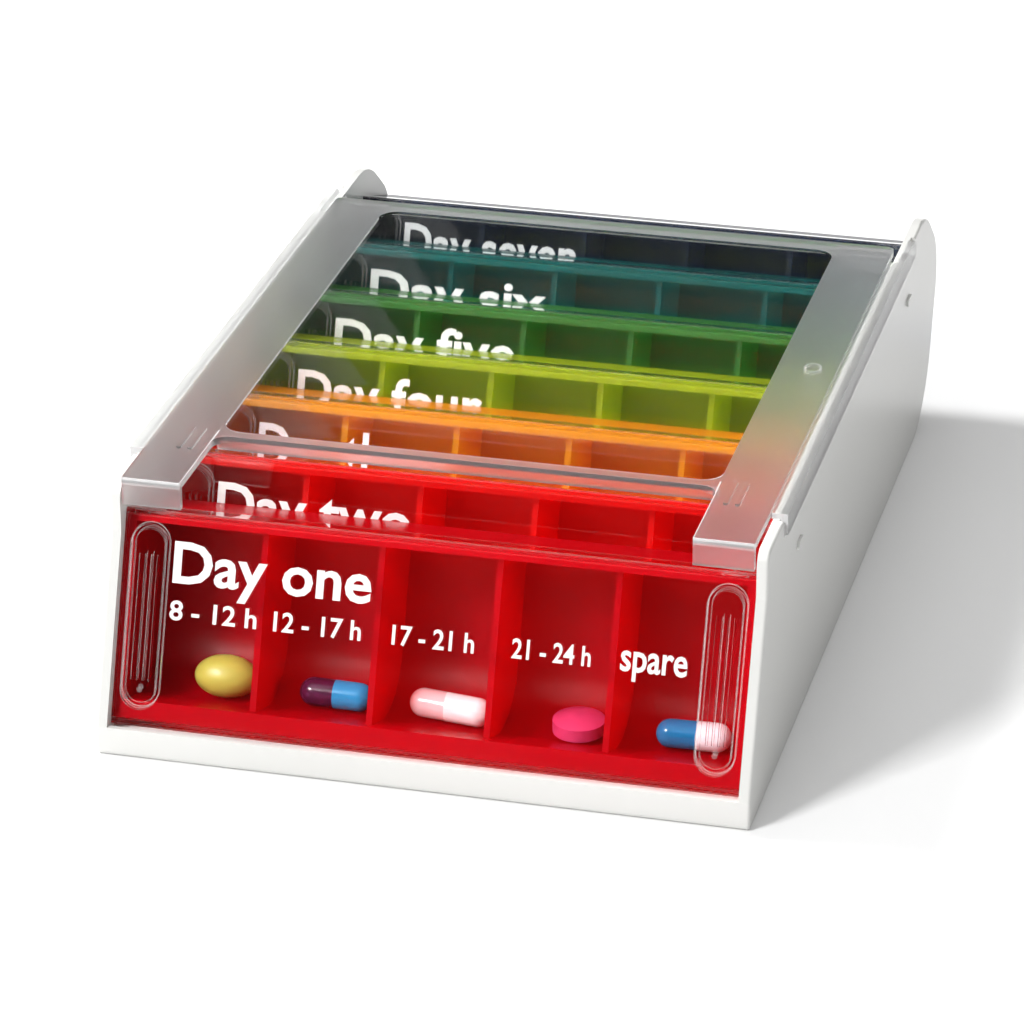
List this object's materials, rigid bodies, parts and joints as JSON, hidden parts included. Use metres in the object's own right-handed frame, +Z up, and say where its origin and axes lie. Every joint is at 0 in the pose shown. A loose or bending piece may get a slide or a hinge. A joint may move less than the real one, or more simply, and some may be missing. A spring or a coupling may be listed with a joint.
{
  "type": "weekly pill organizer",
  "caption": "Weekly pill organizer: leaning day trays with sliding clear covers stand in an open rack under a hinged clear lid.",
  "frame": {"origin": "on the surface it stands on, under the centre of its bounding box", "axes": "+X to the user's right, +Y from the front lip to the rear, +Z up"},
  "size_m": [0.1272, 0.2019, 0.0526],
  "materials": {
    "rack_white": "satin, slightly translucent moulded plastic",
    "lid_clear": "clear moulded plastic with a frosted border",
    "cover_clear": "polished clear plastic",
    "monday_deep_red": "gloss",
    "tuesday_red": "gloss",
    "wednesday_orange": "gloss",
    "thursday_lime": "gloss",
    "friday_green": "gloss",
    "saturday_teal": "gloss",
    "sunday_slate": "gloss",
    "pill_yellow": "smooth coated tablet",
    "pill_pink": "smooth coated tablet",
    "capsule_blue": "two-colour gelatine capsule",
    "capsule_white": "two-colour gelatine capsule"
  },
  "bodies": {
    "rack": {"rack": "rack_white"},
    "lid": {"lid": "lid_clear"},
    "monday_tray": {"monday_tray": "monday_deep_red", "yellow_oval_pill": "pill_yellow", "dark_blue_capsule": "capsule_blue", "white_pink_capsule": "capsule_white", "pink_tablet": "pill_pink", "blue_white_capsule": "capsule_blue"},
    "monday_cover": {"monday_cover": "cover_clear"},
    "tuesday_tray": {"tuesday_tray": "tuesday_red"},
    "tuesday_cover": {"tuesday_cover": "cover_clear"},
    "wednesday_tray": {"wednesday_tray": "wednesday_orange"},
    "wednesday_cover": {"wednesday_cover": "cover_clear"},
    "thursday_tray": {"thursday_tray": "thursday_lime"},
    "thursday_cover": {"thursday_cover": "cover_clear"},
    "friday_tray": {"friday_tray": "friday_green"},
    "friday_cover": {"friday_cover": "cover_clear"},
    "saturday_tray": {"saturday_tray": "saturday_teal"},
    "saturday_cover": {"saturday_cover": "cover_clear"},
    "sunday_tray": {"sunday_tray": "sunday_slate"},
    "sunday_cover": {"sunday_cover": "cover_clear"}
  },
  "joints": [
    {"name": "lid_hinge", "type": "hinge", "parent": "rack", "child": "lid", "pos_m": [0, 0.06513, 0.04857], "axis": [-1, 0, 0], "range_deg": [0, 105]},
    {"name": "monday_lift", "type": "slide", "parent": "rack", "child": "monday_tray", "axis": [0, 0.3502, 0.9367], "range_m": [0, 0.005]},
    {"name": "monday_cover_slide", "type": "slide", "parent": "monday_tray", "child": "monday_cover", "axis": [1, 0, 0], "range_m": [-0.00025, 0.00025]},
    {"name": "tuesday_lift", "type": "slide", "parent": "rack", "child": "tuesday_tray", "axis": [0, 0.3502, 0.9367], "range_m": [0, 0.005]},
    {"name": "tuesday_cover_slide", "type": "slide", "parent": "tuesday_tray", "child": "tuesday_cover", "axis": [1, 0, 0], "range_m": [-0.00025, 0.00025]},
    {"name": "wednesday_lift", "type": "slide", "parent": "rack", "child": "wednesday_tray", "axis": [0, 0.3502, 0.9367], "range_m": [0, 0.005]},
    {"name": "wednesday_cover_slide", "type": "slide", "parent": "wednesday_tray", "child": "wednesday_cover", "axis": [1, 0, 0], "range_m": [-0.00025, 0.00025]},
    {"name": "thursday_lift", "type": "slide", "parent": "rack", "child": "thursday_tray", "axis": [0, 0.3502, 0.9367], "range_m": [0, 0.005]},
    {"name": "thursday_cover_slide", "type": "slide", "parent": "thursday_tray", "child": "thursday_cover", "axis": [1, 0, 0], "range_m": [-0.00025, 0.00025]},
    {"name": "friday_lift", "type": "slide", "parent": "rack", "child": "friday_tray", "axis": [0, 0.3502, 0.9367], "range_m": [0, 0.005]},
    {"name": "friday_cover_slide", "type": "slide", "parent": "friday_tray", "child": "friday_cover", "axis": [1, 0, 0], "range_m": [-0.00025, 0.00025]},
    {"name": "saturday_lift", "type": "slide", "parent": "rack", "child": "saturday_tray", "axis": [0, 0.3502, 0.9367], "range_m": [0, 0.005]},
    {"name": "saturday_cover_slide", "type": "slide", "parent": "saturday_tray", "child": "saturday_cover", "axis": [1, 0, 0], "range_m": [-0.00025, 0.00025]},
    {"name": "sunday_lift", "type": "slide", "parent": "rack", "child": "sunday_tray", "axis": [0, 0.3502, 0.9367], "range_m": [0, 0.045]},
    {"name": "sunday_cover_slide", "type": "slide", "parent": "sunday_tray", "child": "sunday_cover", "axis": [1, 0, 0], "range_m": [-0.00025, 0.00025]}
  ]
}
